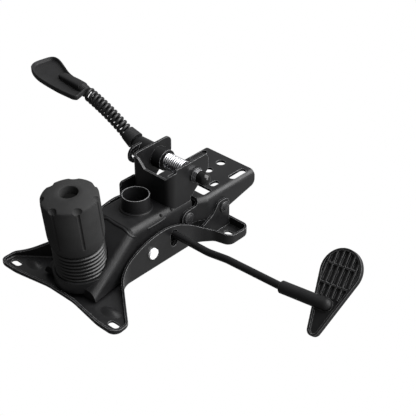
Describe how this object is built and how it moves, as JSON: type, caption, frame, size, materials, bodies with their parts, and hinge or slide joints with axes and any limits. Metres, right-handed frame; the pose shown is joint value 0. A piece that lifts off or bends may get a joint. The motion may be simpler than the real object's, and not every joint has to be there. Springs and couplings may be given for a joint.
{
  "type": "office chair tilt mechanism",
  "caption": "Synchronised tilt mechanism of an office chair, upside down, with tension knob, gas lift lever and lock lever on a spring neck.",
  "frame": {"origin": "on the gas lift's axis, in the plane of the seat face", "axes": "+X across the chair to the gas lever's side, +Y to the backrest, +Z away from the seat, which is down when the chair is in use"},
  "size_m": [0.5101, 0.2655, 0.1261],
  "materials": {
    "black_enamel": "satin",
    "black_plastic": "matte",
    "rubber": "matte",
    "zinc": "satin",
    "spring_steel": "satin",
    "dark_steel": "satin"
  },
  "bodies": {
    "seat_body": {"seat_plate": "black_enamel", "tilt_pivot_pin": "zinc", "tilt_pivot_rings": "spring_steel", "tension_bolt": "zinc", "tension_spring": "spring_steel", "bellows": "rubber"},
    "housing_body": {"housing": "black_enamel", "gas_lift_socket": "black_enamel", "clamp_bracket": "black_enamel", "tilt_pivot_bushes": "black_plastic", "front_pivot_pin": "dark_steel", "gas_lever_pivot": "zinc", "lock_spring": "zinc", "lock_spacer": "dark_steel", "clamp_washer": "dark_steel"},
    "backrest_body": {"backrest_bracket": "black_enamel", "rear_pivot_pins": "dark_steel"},
    "tension_seat": {"thrust_washer": "zinc"},
    "knob_body": {"tension_knob": "black_plastic", "knob_insert": "zinc"},
    "lever_body": {"clamp_axle": "dark_steel", "lever_hub": "black_enamel", "lever_collar": "black_plastic", "lever_spring": "black_enamel", "lever_paddle": "black_plastic", "clamp_nut": "dark_steel", "dome_cap": "black_plastic"},
    "gas_lever_body": {"gas_lever_rod": "black_enamel", "gas_lever_handle": "black_plastic"}
  },
  "joints": [
    {"name": "tilt", "type": "hinge", "parent": "seat_body", "child": "housing_body", "pos_m": [0, -0.015, 0.022], "axis": [-1, 0, 0], "range_deg": [0, 9], "stiffness_Nm_per_rad": 100, "springref_deg": -5.73, "deforming": ["bellows", "tension_spring"]},
    {"name": "back_pivot", "type": "hinge", "parent": "housing_body", "child": "backrest_body", "pos_m": [0, 0.045, 0.034], "axis": [1, 0, 0], "range_deg": [0, 20.8]},
    {"name": "knob_turn", "type": "hinge", "parent": "tension_seat", "child": "knob_body", "pos_m": [0, -0.0786, 0.0215], "axis": [0, 0.1045, -0.9945], "range_deg": [0, 1080]},
    {"name": "tension_travel", "type": "slide", "parent": "seat_body", "child": "tension_seat", "axis": [0, 0.1045, -0.9945], "range_m": [0, 0.006], "deforming": ["bellows", "tension_spring"]},
    {"name": "clamp_lever", "type": "hinge", "parent": "housing_body", "child": "lever_body", "pos_m": [0, 0.061, 0.0796], "axis": [1, 0, 0], "range_deg": [0, 60]},
    {"name": "gas_lever", "type": "hinge", "parent": "housing_body", "child": "gas_lever_body", "pos_m": [0.0235, 0.017, 0.03], "axis": [0, 1, 0], "range_deg": [0, 4.5], "stiffness_Nm_per_rad": 3, "springref_deg": -5.73}
  ],
  "couplings": [
    {"joint": "back_pivot", "follows": "tilt", "ratio": 2.305},
    {"joint": "tension_travel", "follows": "knob_turn", "m_per_rad": 0.00031831}
  ]
}
